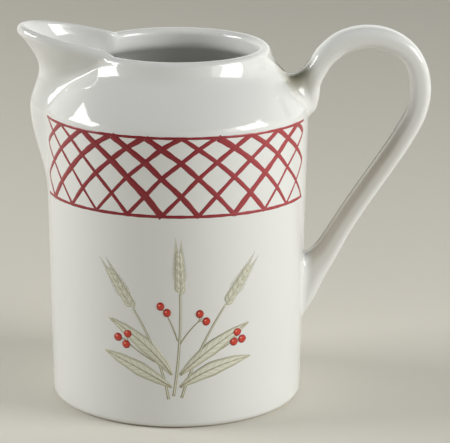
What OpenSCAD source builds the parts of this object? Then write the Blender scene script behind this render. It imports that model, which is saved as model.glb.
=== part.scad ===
// Small porcelain cream jug: a tall body with a closed-in neck, a pouring
// spout stuck over a cut-out in its shoulder, a strap handle, and transfers
// fired on to the glaze. The jug's axis is Z, the spout looks along -X and
// the handle along +X. The foot ring stands on the plane z = 0.

/* [Body] */
// Diameter of the body at its shoulder
body_d = 76; // [66:0.5:90]
// Diameter of the body at its foot
base_d = 73; // [66:0.5:82]
// Height of the straight side above the table
side_h = 85; // [76:0.5:100]
// Thickness of the body wall
wall = 3; // [2:0.25:4]
// Thickness of the floor
floor_t = 3; // [2:0.25:5]
// Height of the hollow under the floor
foot_rise = 1.2; // [0.6:0.1:2.5]
// Width of the unglazed ring that the jug stands on
foot_w = 3; // [1.5:0.25:5]
// Rounding of the bottom edge
foot_round = 2; // [1:0.25:3]
// Rounding inside, where the wall meets the floor
floor_round = 6; // [3:0.5:10]

/* [Shoulder and neck] */
// Rounding of the edge between the side and the shoulder
edge_round = 5; // [3.5:0.25:7]
// Radius of the gently domed shoulder
dome_r = 55; // [40:1:80]
// Height of the rim above the straight side
neck_rise = 18.8; // [17.5:0.1:22]
// Outer diameter of the rim
rim_d = 54; // [50:0.25:56]
// Thickness of the rounded rim
rim_t = 3.7; // [3:0.1:4.5]

/* [Spout] */
// Reach of the lip beyond the rim
lip_out = 19; // [14:0.25:24]
// Height of the lip above the rim
lip_rise = 6; // [3:0.25:9]
// Reach of the throat beyond the side of the body
throat_out = 4.3; // [3:0.1:6]
// Reach of the narrowest part of the throat beyond the rim
waist_out = 12.6; // [11:0.1:14]
// Height of the throat's fullest part above the straight side
swell_rise = 1; // [0:0.25:3]
// Height of the throat's narrowest part above the straight side
waist_rise = 12.3; // [10.5:0.1:14]
// How far the spout runs down the side
spout_drop = 25; // [20:0.5:32]
// Half width of the spout at its lip
lip_half_w = 16.5; // [15:0.25:18.5]
// Half width of the spout at its narrowest part
waist_half_w = 11.2; // [10.4:0.1:12.6]
// Half width of the throat lower down
throat_half_w = 12.2; // [11:0.1:13.8]
// Distance of the spout's widest line from the axis, low down
spout_root = 20; // [17:0.25:22]
// Distance of the lip's widest line from the axis
lip_root = 23.5; // [21.5:0.25:24.5]
// Thickness of the spout wall
spout_wall = 2.8; // [2:0.1:3.5]
// Thickness of the lip's rounded edge
lip_t = 3; // [2.4:0.1:3.7]
// Softness of the crease between spout and body, at the waist
crease = 2.8; // [1.6:0.1:3.5]
// Half width of the joint at the foot of the spout
joint_foot_half_w = 5; // [4:0.25:8]

/* [Handle] */
// Reach of the handle's centre line beyond the body
handle_out = 32.3; // [24:0.1:40]
// Height of the top of its arch, at the centre line, above the straight side
handle_rise = 21.1; // [14:0.1:28]
// Height of the centre line where it meets the body below
handle_foot = 24.5; // [18:0.5:34]
// Width of the strap
strap_w = 9; // [7:0.25:12]
// Thickness of the strap
strap_t = 5.9; // [4.5:0.1:7.5]

/* [Transfers] */
// Thickness of a fired transfer
film_t = 0.16; // [0.1:0.02:0.3]
// Height of the lattice band
band_h = 22.5; // [16:0.25:26]
// Distance of the band's upper edge below the straight side's end
band_drop = 0.2; // [0:0.1:2]
// Width of the painted bars
bar_w = 0.9; // [0.5:0.05:1.3]
// Width of the band's border lines
border_w = 0.5; // [0.3:0.05:0.8]
// Half width of the bare stretch behind the spout
band_start_half_w = 10.9; // [10.5:0.1:16]
// Half width of the bare stretch behind the handle
band_end_half_w = 13.1; // [8:0.1:18]
// Distance of the spray's foot above the table
spray_foot = 9; // [6:0.5:12]
// Bare height between the spray and the band
spray_gap = 7.3; // [4:0.1:14]

/* [Hidden] */

glaze = "gainsboro";
enamel = "firebrick";
sage = "darkseagreen";

body_r = body_d / 2;
base_r = base_d / 2;
rim_r = rim_d / 2;
rim_round = rim_t / 2;
lip_round = lip_t / 2;
rim_h = side_h + neck_rise;
lip_centre_z = rim_h - rim_round;
foot_z = side_h - spout_drop;
swell_z = side_h + swell_rise;
waist_z = side_h + waist_rise;
lip_z = rim_h + lip_rise;
handle_top = side_h + handle_rise;
// Cuts run this far past what they cut
overrun = wall;
// Smoothness of the round shapes
$fn = 96;

// Slope of the shoulder: its normal turns from one angle to the other
edge_angle = 32;
dome_angle = 44;
dome_steps = 5;
dome_step = (dome_angle - edge_angle) / (dome_steps + 1);

function arc(centre, r, from, to, steps) = [
    for (i = [0:steps])
        let (a = from + (to - from) * i / steps)
        [centre[0] + r * cos(a), centre[1] + r * sin(a)]
];
function mix(a, b, t) = a + (b - a) * t;
function clamp(t) = min(1, max(0, t));
function ease(t) = let (u = clamp(t)) u * u * (3 - 2 * u);
// A cubic from p to q that leaves p along one direction and meets q along the other
function bend(p, along_p, q, along_q, reach, steps) = [
    for (i = [1:steps])
        let (
            t = i / steps,
            s = 1 - t,
            a = p + along_p * reach,
            b = q - along_q * reach
        )
        p * s * s * s + a * 3 * s * s * t + b * 3 * s * t * t + q * t * t * t
];

// Where the edge rounding ends and the dome begins, and the dome's centre
edge_end = [body_r - edge_round + edge_round * cos(edge_angle), side_h + edge_round * sin(edge_angle)];
dome_centre = edge_end - dome_r * [cos(edge_angle), sin(edge_angle)];
dome_end = dome_centre + dome_r * [cos(dome_angle), sin(dome_angle)];
dome_along = [-sin(dome_angle), cos(dome_angle)];
// How far the neck's curve follows its two end directions
neck_bend_share = 0.4;
// The neck still leans inwards where it runs into the round of the rim
rim_tilt = 16;
rim_start = [rim_r - rim_round + rim_round * cos(rim_tilt), lip_centre_z + rim_round * sin(rim_tilt)];
rim_along = [-sin(rim_tilt), cos(rim_tilt)];
neck_reach = norm(rim_start - dome_end) * neck_bend_share;
inner_dome_end = dome_end - wall * [cos(dome_angle), sin(dome_angle)];
inner_rim_r = rim_r - rim_t;
inner_reach = norm([inner_rim_r, lip_centre_z] - inner_dome_end) * neck_bend_share;

// Outside of the body from the table to the widest line of the rim
outer_side = concat(
    arc([base_r - foot_round, foot_round], foot_round, -90, 0, 8),
    arc([body_r - edge_round, side_h], edge_round, 0, edge_angle, 6),
    arc(dome_centre, dome_r, edge_angle + dome_step, dome_angle, dome_steps),
    bend(dome_end, dome_along, rim_start, rim_along, neck_reach, 8)
);
// Inside of the body from the floor to the same height
inner_floor_z = foot_rise + floor_t;
inner_edge_r = edge_round - wall;
inner_side = concat(
    arc(
        [base_r - wall - floor_round, inner_floor_z + floor_round],
        floor_round, -90, 0, 8
    ),
    arc([body_r - edge_round, side_h], inner_edge_r, 0, edge_angle, 6),
    arc(dome_centre, dome_r - wall, edge_angle + dome_step, dome_angle, dome_steps),
    bend(inner_dome_end, dome_along, [inner_rim_r, lip_centre_z], [0, 1], inner_reach, 8)
);
rim_arc = arc([rim_r - rim_round, lip_centre_z], rim_round, rim_tilt, 180, 12);

function reversed(list) = [for (i = [len(list) - 1:-1:0]) list[i]];
function by_height(list) = [for (p = list) [p[1], p[0]]];
outer_table = by_height(outer_side);
inner_table = by_height(inner_side);
// Radius of the body's outside and inside at a height
function outer_r(z) = lookup(z, outer_table);
function inner_r(z) = lookup(z, inner_table);

// The lip flares out faster towards its tip, and its edge climbs almost evenly
lip_flare = 1.6;
lip_climb = 1.05;
// Where the rim begins to climb, in shares of its radius
climb_start_share = 0.6;
// Where the spout begins and ends to widen, in shares of the neck's height
widen_start_share = 0.43;
widen_end_share = 1.01;
// How far the wall leans outwards where it runs into the tip's round edge
lip_lean = 45;
lip_end_z = lip_z - lip_round * (1 + sin(lip_lean));
lip_end_r = rim_r + lip_out - lip_round * (1 - cos(lip_lean));

// Reach of the spout's outside from the axis, on the middle plane, at a height
function spout_reach(z) =
    z < swell_z
        ? mix(outer_r(foot_z), body_r + throat_out, ease((z - foot_z) / (swell_z - foot_z)))
        : z < waist_z
            ? mix(body_r + throat_out, rim_r + waist_out, ease((z - swell_z) / (waist_z - swell_z)))
            : mix(
                rim_r + waist_out,
                lip_end_r,
                pow(max(z - waist_z, 0) / (lip_end_z - waist_z), lip_flare)
            );
// How far the spout has widened towards its lip at a height, from 0 to 1
function widening(z) =
    ease(
        (z - side_h - neck_rise * widen_start_share)
        / (neck_rise * (widen_end_share - widen_start_share))
    );
// Half width of the spout at a height
function spout_half_w(z) =
    mix(
        mix(throat_half_w, waist_half_w, ease((z - swell_z) / (waist_z - swell_z))),
        lip_half_w,
        widening(z)
    );
// Distance from the axis of an ellipse round the spout's root, along a direction
function oval_r(turn, root, along, across) =
    let (
        a = pow(cos(turn) / along, 2) + pow(sin(turn) / across, 2),
        b = root * cos(turn) / (along * along),
        c = pow(root / along, 2) - 1,
        d = b * b - a * c
    )
    d > 0 ? (b + sqrt(d)) / a : 0;
// The larger of two lengths, with the crease between them rounded
function blend(a, b, soft) =
    let (h = max(soft - abs(a - b), 0) / soft)
    max(a, b) + h * h * soft / 4;
// Softness of the crease in shares of its size at the waist, over the share of
// the height from the spout's foot to the rim. Inside it is softer by one more
softness_shares = [[0, 1.8], [0.6, 1.4], [0.7, 1.15], [0.8, 1], [0.87, 1], [0.94, 1.6], [1, 2.5]];
inner_softness_share = 2.4;
// Radius of the jug along a direction at a height, outside where inside is 0
// and inside where it is 1
function skin_r(turn, z, inside) =
    let (
        round_r = inside == 0 ? outer_r(z) : inner_r(z),
        inset = spout_wall * inside,
        softness = lookup((z - foot_z) / (rim_h - foot_z), softness_shares) + inner_softness_share * inside,
        soft = crease * softness,
        // The oval's reach that gives the stated one with the crease's filling
        beyond = max(spout_reach(z) - inset - round_r, 0),
        reach = round_r + (beyond < soft ? sqrt(4 * soft * beyond) - soft : beyond),
        root = mix(spout_root, lip_root, widening(z))
    )
    blend(round_r, oval_r(turn, root, reach - root, spout_half_w(z) - inset), soft);
// How far the skin leans outwards from upright just under a height: the
// average over some directions close by
probe = rim_t / 12;
probe_turns = [-6:2:6];
function lean(turn, z, inside) =
    let (
        leans = [
            for (d = probe_turns)
                atan2(skin_r(turn + d, z, inside) - skin_r(turn + d, z - probe, inside), probe)
        ]
    )
    leans * [for (a = leans) 1] / len(leans);
// Height of the rim's top along a direction: it climbs towards the lip
function rim_z(turn) =
    let (
        plan_r = oval_r(turn, lip_root, rim_r + lip_out - lip_root, lip_half_w),
        reach = plan_r * cos(turn),
        start = rim_r * climb_start_share,
        t = clamp((reach - start) / (rim_r + lip_out - start))
    )
    rim_h + lip_rise * pow(t, lip_climb);

// The spout is stuck on along two slanting planes and one level one. They
// cross the rim at a share of its inner radius
joint_rim_share = 0.93;
joint_rim_half_w = inner_rim_r * joint_rim_share;
function joint_half_w(z) =
    mix(joint_foot_half_w, joint_rim_half_w, (z - foot_z) / (rim_h - foot_z));
// Direction of the spout's wall at a height, from one joint at v = -1 to the
// other at v = 1: inside and outside part only close to the joint, to lie on it
joint_bias = 8;
function wall_turn(v, z, r) =
    let (
        half_w = joint_half_w(min(z, rim_h)),
        middle = asin(half_w * 2 / (outer_r(z) + inner_r(z))),
        edge = asin(half_w / r)
    )
    v * mix(middle, edge, pow(v, joint_bias));

// Steps of the spout's wall: outside upwards, over the lip, inside downwards
spout_levels = 26;
lip_steps = 8;
spout_columns = 44;
// The levels lie closer together towards the lip, the columns towards the joint
level_bias = 0.75;
column_bias = 0.82;
// Each step is its share of the height, and its share of the way over the lip
wall_steps = concat(
    [for (i = [0:spout_levels]) [pow(i / spout_levels, level_bias), 0]],
    [for (i = [1:lip_steps - 1]) [1, i / lip_steps]],
    [for (i = [spout_levels:-1:0]) [pow(i / spout_levels, level_bias), 1]]
);
// The inside settles into the rim's edge over this height
settle_h = rim_t * 2;
// The round edge that both walls run into, at a place across the spout: how the
// walls lean, its radius, its centre, where the walls end, and how far the
// inside shifts to meet it
function lip_edge(v) =
    let (
        turn = wall_turn(v, lip_centre_z, rim_r - rim_round),
        top_z = rim_z(turn),
        bead = mix(rim_round, lip_round, (top_z - rim_h) / lip_rise),
        centre_z = top_z - bead,
        first_lean = lean(turn, centre_z, 0),
        lean_out = lean(turn, centre_z - bead * sin(first_lean), 0),
        lean_in = lean(turn, centre_z, 1),
        outer_top_z = centre_z - bead * sin(lean_out),
        inner_top_z = centre_z + bead * sin(lean_in),
        centre_r = skin_r(turn, outer_top_z, 0) - bead * cos(lean_out),
        shift = centre_r - bead * cos(lean_in) - skin_r(turn, inner_top_z, 1)
    )
    [lean_out, lean_in, bead, centre_r, centre_z, outer_top_z, inner_top_z, shift];
function spout_point(v, edge, step) =
    let (
        share = step[0],
        over = step[1],
        bead = edge[2],
        over_angle = mix(-edge[0], 180 - edge[1], over),
        z = over == 0
            ? mix(foot_z, edge[5], share)
            : over == 1
                ? mix(foot_z, edge[6], share)
                : edge[4] + bead * sin(over_angle),
        // The same step on the round body, which the joint lies on
        round_angle = mix(rim_tilt, 180, over),
        round_z = over == 0
            ? mix(foot_z, rim_start[1], share)
            : over == 1
                ? mix(foot_z, lip_centre_z, share)
                : lip_centre_z + rim_round * sin(round_angle),
        round_r = over == 0
            ? outer_r(round_z)
            : over == 1
                ? inner_r(round_z)
                : rim_r - rim_round + rim_round * cos(round_angle),
        turn = wall_turn(v, round_z, round_r),
        r = over == 0
            ? skin_r(turn, z, 0)
            : over == 1
                ? skin_r(turn, z, 1) + edge[7] * ease(1 - (edge[6] - z) / settle_h)
                : edge[3] + bead * cos(over_angle),
        joint = pow(v, joint_bias),
        joined_r = mix(r, round_r, joint)
    )
    [-joined_r * cos(turn), joined_r * sin(turn), mix(z, round_z, joint)];

module spout() {
    n = len(wall_steps);
    m = spout_columns + 1;
    points = [
        for (j = [0:spout_columns])
            let (
                even_v = 2 * j / spout_columns - 1,
                v = sign(even_v) * pow(abs(even_v), column_bias),
                edge = lip_edge(v)
            )
            for (step = wall_steps)
                spout_point(v, edge, step)
    ];
    sides = [
        for (j = [0:spout_columns - 1])
            for (i = [0:n - 1])
                let (
                    a = j * n + i,
                    b = j * n + (i + 1) % n,
                    c = a + n,
                    d = b + n
                )
                each [[a, d, b], [a, c, d]]
    ];
    // Each end is a strip of triangles from the outside to the inside of the
    // wall, with one last triangle under the lip's top
    last = (n - 3) / 2;
    near_end = concat(
        [
            for (i = [0:last - 1])
                each [[i, i + 1, n - 1 - i], [i + 1, n - 2 - i, n - 1 - i]]
        ],
        [[last, last + 1, last + 2]]
    );
    far_end = [for (f = near_end) [for (k = [2:-1:0]) (m - 1) * n + f[k]]];
    color(glaze) polyhedron(points, concat(sides, near_end, far_end));
}

// The body's outside, filled in
module body_envelope() {
    rotate_extrude()
        polygon(concat([[0, 0]], outer_side, rim_arc, [[0, lip_centre_z]]));
}

module body() {
    foot_inner_r = base_r - foot_round - foot_w;
    color(glaze) difference() {
        rotate_extrude()
            polygon(concat(
                [[0, foot_rise], [foot_inner_r, foot_rise], [foot_inner_r, 0]],
                outer_side,
                rim_arc,
                reversed(inner_side),
                [[0, inner_floor_z]]
            ));
        spout_opening();
    }
}

// What is cut from the body's wall behind the spout
module spout_opening() {
    top_z = lip_z + overrun;
    top_half_w = joint_half_w(top_z);
    rotate([90, 0, -90])
        linear_extrude(height = body_r + throat_out + overrun)
            polygon([
                [-joint_foot_half_w, foot_z],
                [joint_foot_half_w, foot_z],
                [top_half_w, top_z],
                [-top_half_w, top_z]
            ]);
}

// The handle's centre line, as shares of its reach and of its height. Both
// its ends run on into the wall, where they are cut off
handle_path_shares = [
    [-0.114, 0.736],
    [-0.056, 0.76],
    [-0.024, 0.786],
    [0.011, 0.841],
    [0.078, 0.888],
    [0.151, 0.932],
    [0.301, 0.981],
    [0.500, 1.001],
    [0.700, 0.990],
    [0.872, 0.949],
    [0.972, 0.885],
    [1.007, 0.803],
    [0.971, 0.720],
    [0.876, 0.641],
    [0.761, 0.564],
    [0.585, 0.457],
    [0.442, 0.368],
    [0.324, 0.289],
    [0.196, 0.198],
    [0.060, 0.124],
    [-0.036, 0.048],
    [-0.133, -0.013],
    [-0.203, -0.058]
];
// The strap thickens towards its two joints, in shares of its thickness
strap_swell_shares = [
    1.02, 1.49, 1.39, 1.19, 1.02, 1.04, 1.06, 1.06, 1.04, 1.02, 1.02, 1.02,
    1.00, 1.00, 1.00, 1.00, 1.02, 1.04, 1.19, 1.65, 1.80, 1.86, 1.86
];
// It widens by less than it thickens
widening_share = 0.25;
path_steps = 3;
section_sides = 20;

// A smooth curve through a list's values, at a place between the first and last
function through(list, place) =
    let (
        i = min(floor(place), len(list) - 2),
        t = place - i,
        p0 = list[max(i - 1, 0)],
        p1 = list[i],
        p2 = list[i + 1],
        p3 = list[min(i + 2, len(list) - 1)]
    )
    (p1 * 2 + (p2 - p0) * t + (p0 * 2 - p1 * 5 + p2 * 4 - p3) * t * t
        + (p1 * 3 - p0 - p2 * 3 + p3) * t * t * t) / 2;
function handle_centre(place) =
    let (
        s = through(handle_path_shares, place),
        wall_r = mix(side_r(handle_foot), body_r, s[1])
    )
    [wall_r + handle_out * s[0], mix(handle_foot, handle_top, s[1])];
function handle_along(place) =
    let (
        last = len(handle_path_shares) - 1,
        step = 1 / path_steps,
        d = handle_centre(min(place + step, last)) - handle_centre(max(place - step, 0))
    )
    d / norm(d);
// A rounded section, between an ellipse and a rectangle
strap_squareness = 3;
function strap_point(a, half_w, half_t) =
    let (
        c = cos(a),
        s = sin(a),
        n = strap_squareness,
        q = pow(pow(abs(c), n) + pow(abs(s), n), -1 / n)
    )
    [half_w * c * q, half_t * s * q];

module strap() {
    last = len(handle_path_shares) - 1;
    rings = last * path_steps;
    k = section_sides;
    points = [
        for (i = [0:rings])
            let (
                place = i / path_steps,
                centre = handle_centre(place),
                along = handle_along(place),
                swell = through(strap_swell_shares, place),
                half_w = strap_w * mix(1, swell, widening_share) / 2,
                half_t = strap_t * swell / 2
            )
            for (j = [0:k - 1])
                let (p = strap_point(360 * j / k, half_w, half_t))
                [centre[0] - along[1] * p[1], p[0], centre[1] + along[0] * p[1]]
    ];
    sides = [
        for (i = [0:rings - 1])
            for (j = [0:k - 1])
                let (
                    a = i * k + j,
                    b = i * k + (j + 1) % k,
                    c = a + k,
                    d = b + k
                )
                each [[a, d, b], [a, c, d]]
    ];
    ends = [
        [for (j = [0:k - 1]) j],
        [for (j = [k - 1:-1:0]) rings * k + j]
    ];
    polyhedron(points, concat(sides, ends));
}

module handle() {
    color(glaze) difference() {
        strap();
        body_envelope();
    }
}

// Radius of the body's straight side at a height
function side_r(z) = mix(base_r, body_r, (z - foot_round) / (side_h - foot_round));

// A thin skin on the straight side, between two heights and two directions
module side_film(low_z, high_z, from, to) {
    rotate([0, 0, from])
        rotate_extrude(angle = to - from)
            polygon([
                [side_r(low_z), low_z],
                [side_r(low_z) + film_t, low_z],
                [side_r(high_z) + film_t, high_z],
                [side_r(high_z), high_z]
            ]);
}

// The lattice: lines cross at equal steps round the jug, and the rows grow
// shorter upwards. Directions are in degrees from the handle
lattice_start = asin(band_start_half_w / body_r) - 180;
lattice_end = -asin(band_end_half_w / body_r);
lattice_columns = 19;
lattice_rows = 5;
half_pitch = (lattice_end - lattice_start) / lattice_columns;
row_growth_share = 0.297;
row_loss_share = 0.0186;
band_top = side_h - band_drop;
band_low = band_top - band_h;
function row_z(k) = band_low + band_h * (row_growth_share * k - row_loss_share * k * k);
half_pitch_w = body_r * tan(half_pitch);

// Half width of an eye at a height: it runs to a point at both ends
function eye_half_w(z, low, mid, high, w) =
    z < mid ? w * (z - low) / (mid - low) : w * (high - z) / (high - mid);
// One eye of the lattice as an outline, kept between the borders
function eye_outline(k) =
    let (
        low = k == 0 ? row_z(0) - (row_z(1) - row_z(0)) : row_z(k - 1),
        mid = row_z(k),
        high = row_z(k + 1),
        slant = norm([half_pitch_w, (high - low) / 2]),
        trim_z = bar_w / 2 * slant / half_pitch_w,
        trim_w = bar_w / 2 * slant / ((high - low) / 2),
        w = half_pitch_w - trim_w,
        a = low + trim_z,
        b = high - trim_z,
        floor_z = band_low + border_w,
        ceiling_z = band_top - border_w,
        levels = [max(a, floor_z), max(mid, floor_z), min(b, ceiling_z)],
        used = levels[1] < levels[2] && levels[1] > levels[0] ? levels : [levels[0], levels[2]],
        right = [for (z = used) [eye_half_w(z, a, mid, b, w), z]],
        left = [for (p = reversed(right)) if (p[0] > 0) [-p[0], p[1]]]
    )
    concat(right, left);

module lattice_transfer() {
    end_margin = atan(bar_w / 2 / body_r);
    difference() {
        side_film(
            band_low,
            band_top,
            lattice_start - end_margin,
            lattice_end + end_margin
        );
        for (i = [0:lattice_columns])
            for (k = [i % 2:2:lattice_rows])
                rotate([90, 0, lattice_start + i * half_pitch + 90])
                    translate([0, 0, body_r - overrun])
                        linear_extrude(height = overrun * 2)
                            polygon(eye_outline(k));
    }
}

module lattice_transfer_front() {
    color(enamel) lattice_transfer();
}

module lattice_transfer_back() {
    color(enamel) mirror([0, 1, 0]) lattice_transfer();
}

// The spray: ears of grain, long leaves and berries on curved stems. Each
// stem is a foot, a bow and a head, in shares of the spray's height
spray_h = band_low - spray_gap - spray_foot;
ear_shares = [
    [[-0.02, 0.02], [0.03, 0.34], [0.02, 0.68]],
    [[-0.05, 0.00], [-0.10, 0.30], [-0.27, 0.58]],
    [[0.03, 0.01], [0.12, 0.32], [0.30, 0.60]]
];
ear_long_share = 0.30;
ear_wide_share = 0.085;
leaf_shares = [
    [[-0.03, 0.08], [-0.22, 0.20], [-0.44, 0.28]],
    [[0.02, 0.08], [0.20, 0.22], [0.45, 0.24]],
    [[-0.03, 0.16], [-0.16, 0.36], [-0.42, 0.50]],
    [[0.02, 0.16], [0.20, 0.34], [0.44, 0.46]]
];
leaf_wide_share = 0.075;
berry_shares = [
    [-0.36, 0.38], [-0.31, 0.34], [-0.30, 0.41],
    [0.35, 0.35], [0.40, 0.36], [0.37, 0.41],
    [-0.10, 0.60], [-0.06, 0.56], [0.14, 0.55], [0.18, 0.50]
];
berry_wide_share = 0.048;
stem_wide_share = 0.014;
blade_steps = 10;

// A point on the curve drawn by a foot, a bow and a head
function curve_at(c, t) = c[0] * (1 - t) * (1 - t) + c[1] * 2 * t * (1 - t) + c[2] * t * t;
function curve_along(c, t) = let (d = (c[1] - c[0]) * (1 - t) + (c[2] - c[1]) * t) d / norm(d);
// A blade along a curve: its half width follows a list of shares
function blade_edge(c, half_w, side, widths) = [
    for (i = [0:blade_steps])
        let (
            t = i / blade_steps,
            along = curve_along(c, t),
            w = half_w * lookup(t, widths) * side
        )
        curve_at(c, t) + w * [-along[1], along[0]]
];
module blade(c, wide, widths) {
    polygon(concat(
        blade_edge(c, wide / 2, 1, widths),
        reversed(blade_edge(c, wide / 2, -1, widths))
    ) * spray_h);
}
stem_widths = [[0, 1], [1, 0.7]];
leaf_widths = [[0, 0.12], [0.2, 0.6], [0.5, 1], [0.8, 0.62], [1, 0.04]];
ear_widths = [[0, 0.3], [0.12, 0.85], [0.4, 1], [0.75, 0.8], [1, 0.1]];

module spray_outline() {
    for (c = ear_shares) {
        blade(c, stem_wide_share, stem_widths);
        head = curve_along(c, 1);
        ear = [for (t = [0, 0.5, 1]) c[2] + head * ear_long_share * t];
        blade(ear, ear_wide_share, ear_widths);
    }
    for (c = leaf_shares)
        blade(c, leaf_wide_share, leaf_widths);
    for (p = berry_shares)
        translate(p * spray_h)
            circle(d = berry_wide_share * spray_h, $fn = 24);
}

module spray_transfer() {
    half_turn = 40;
    intersection() {
        side_film(spray_foot - film_t, spray_foot + spray_h + film_t, -90 - half_turn, -90 + half_turn);
        translate([0, 0, spray_foot])
            rotate([90, 0, 0])
                linear_extrude(height = body_d)
                    spray_outline();
    }
}

module spray_transfer_front() {
    color(sage) spray_transfer();
}

module spray_transfer_back() {
    color(sage) mirror([0, 1, 0]) spray_transfer();
}

body();
spout();
handle();
lattice_transfer_front();
lattice_transfer_back();
spray_transfer_front();
spray_transfer_back();
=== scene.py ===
import bpy
import numpy as np
from mathutils import Matrix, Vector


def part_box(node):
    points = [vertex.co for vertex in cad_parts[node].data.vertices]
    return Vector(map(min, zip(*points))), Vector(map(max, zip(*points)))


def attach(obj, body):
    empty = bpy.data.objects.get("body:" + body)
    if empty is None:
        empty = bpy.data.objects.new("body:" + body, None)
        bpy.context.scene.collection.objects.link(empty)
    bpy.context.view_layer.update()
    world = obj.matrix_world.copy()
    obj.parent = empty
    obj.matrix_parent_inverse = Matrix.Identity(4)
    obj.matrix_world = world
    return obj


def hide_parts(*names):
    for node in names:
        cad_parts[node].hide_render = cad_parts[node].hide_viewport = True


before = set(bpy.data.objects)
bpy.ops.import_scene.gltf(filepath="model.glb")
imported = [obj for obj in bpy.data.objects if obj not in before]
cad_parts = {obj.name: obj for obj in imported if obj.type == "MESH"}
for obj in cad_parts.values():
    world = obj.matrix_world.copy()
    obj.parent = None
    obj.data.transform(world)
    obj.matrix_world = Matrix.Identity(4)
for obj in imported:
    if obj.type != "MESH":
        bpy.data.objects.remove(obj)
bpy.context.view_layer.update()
scene = bpy.context.scene
mm = 0.001

# Camera. A long lens on a tripod in front of the jug, a little above it and looking down.
camera_place = np.array([0.0, -704.3, 248.4]) * mm
camera_yaw = 0.0200
camera_dip = 0.2732
camera_roll = 0.0055
camera_lens = 200
camera_film = 36


def placed(right, upward, back, place):
    """World matrix of a camera or lamp at a place, from its three axes. It looks away from back."""
    columns = np.column_stack([right, upward, back, place])
    return Matrix(np.vstack([columns, [0, 0, 0, 1]]).tolist())


def aim(place, yaw, dip, roll):
    """World matrix of a camera at a place. It looks along +Y, turned by yaw towards +X and
    dipped downwards, and its right-hand axis leans by roll towards its upward one."""
    look = np.array([np.sin(yaw) * np.cos(dip), np.cos(yaw) * np.cos(dip), -np.sin(dip)])
    level = np.array([np.cos(yaw), -np.sin(yaw), 0.0])
    above = np.cross(level, look)
    right = np.cos(roll) * level + np.sin(roll) * above
    upward = np.cos(roll) * above - np.sin(roll) * level
    return placed(right, upward, -look, place)


camera = bpy.data.objects.new("camera", bpy.data.cameras.new("camera"))
camera.data.lens = camera_lens
camera.data.sensor_width = camera_film
camera.matrix_world = aim(camera_place, camera_yaw, camera_dip, camera_roll)
scene.collection.objects.link(camera)
scene.camera = camera


# Studio floor. A sheet of matt, warm grey paper that runs back without an edge. Painted light: its
# colour is made paler far behind the jug, most of all on the left, to stand in for light there.
floor_reach = 6000 * mm
paper_near = (0.74, 0.71, 0.635, 1)
# Each on the right, then on the left
paper_middle_painted_light = (0.735, 0.70, 0.62, 1), (0.765, 0.73, 0.645, 1)
paper_far_painted_light = (0.84, 0.80, 0.70, 1), (0.90, 0.86, 0.76, 1)
paper_rough = 0.85
paper_shine = 0.2


class Wire:
    """A shader socket that takes part in Python sums: each operator adds one Math node.
    node() adds any other node: its settings first, then its sockets' values or wires."""

    def __init__(self, tree, socket=None):
        self.tree = tree
        self.socket = socket

    def node(self, kind, inputs=(), output=0, stops=(), **settings):
        made = self.tree.nodes.new(kind)
        for name, value in settings.items():
            setattr(made, name, value)
        for i, (place, colour) in enumerate(stops):
            if i >= len(made.color_ramp.elements):
                made.color_ramp.elements.new(place)
            made.color_ramp.elements[i].position = place
            made.color_ramp.elements[i].color = (*colour, 1)
        for key, value in dict(inputs).items():
            if isinstance(value, Wire):
                self.tree.links.new(value.socket, made.inputs[key])
            else:
                made.inputs[key].default_value = value
        return Wire(self.tree, made.outputs[output] if made.outputs else None)

    def math(self, operation, *values):
        return self.node("ShaderNodeMath", enumerate(values), operation=operation)

    def __add__(self, other):
        return self.math("ADD", self, other)

    def __sub__(self, other):
        return self.math("SUBTRACT", self, other)

    def __rsub__(self, other):
        return self.math("SUBTRACT", other, self)

    def __mul__(self, other):
        return self.math("MULTIPLY", self, other)

    def __truediv__(self, other):
        return self.math("DIVIDE", self, other)

    __radd__ = __add__
    __rmul__ = __mul__

    def step(self, low, high):
        """0 below low, 1 above high, and a smooth climb between them."""
        inputs = {0: self, 1: low, 2: high}
        return self.node("ShaderNodeMapRange", inputs, interpolation_type="SMOOTHSTEP")

    def tint(self, first, second):
        """The first colour where this wire is 0, the second where it is 1."""
        inputs = {0: self, 6: first, 7: second}
        return self.node("ShaderNodeMix", inputs, output=2, data_type="RGBA")

    def noise(self, place, scale, detail):
        """Smooth noise from 0 to 1, with scale in cycles per metre."""
        return self.node("ShaderNodeTexNoise", {"Vector": place, "Scale": scale, "Detail": detail})

    def place(self):
        """The point on the surface in the model's own frame."""
        return self.node("ShaderNodeTexCoord", output=3)

    def split(self):
        """The three parts of a vector."""
        parts = self.node("ShaderNodeSeparateXYZ", {0: self})
        return [Wire(self.tree, s) for s in parts.socket.node.outputs]


def material(name):
    """A new, empty material, and a wire to build its nodes with."""
    made = bpy.data.materials.new(name)
    made.use_nodes = True
    made.node_tree.nodes.clear()
    return made, Wire(made.node_tree)


def finish_surface(wire, inputs):
    """Gives the material a Principled shader with these values and wires."""
    shader = wire.node("ShaderNodeBsdfPrincipled", inputs)
    wire.node("ShaderNodeOutputMaterial", {"Surface": shader})


paper, wire = material("floor_paper")
x, y, z = wire.place().split()
# Painted light: masks by which the paper's colour grows paler towards the back and the left
far = y.step(250 * mm, 900 * mm)
near = y.step(160 * mm, -60 * mm)
left = x.step(100 * mm, -300 * mm)
colour = far.tint(left.tint(*paper_middle_painted_light), left.tint(*paper_far_painted_light))
colour = near.tint(colour, paper_near)
finish_surface(wire, {
    "Base Color": colour, "Roughness": paper_rough, "Specular IOR Level": paper_shine,
})
corners = [(-floor_reach, -floor_reach, 0), (floor_reach, -floor_reach, 0),
           (floor_reach, floor_reach, 0), (-floor_reach, floor_reach, 0)]
floor_mesh = bpy.data.meshes.new("floor")
floor_mesh.from_pydata(corners, [], [(0, 1, 2, 3)])
floor_mesh.materials.append(paper)
floor = bpy.data.objects.new("floor", floor_mesh)
scene.collection.objects.link(floor)


# Studio light. Two wide softboxes, one to the left and one to the right of the jug, a dim pane
# beside the right-hand one, and a room with pale walls and a dark ceiling.
box_far = 900 * mm
box_aim = np.array([0, 0, 90]) * mm
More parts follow.
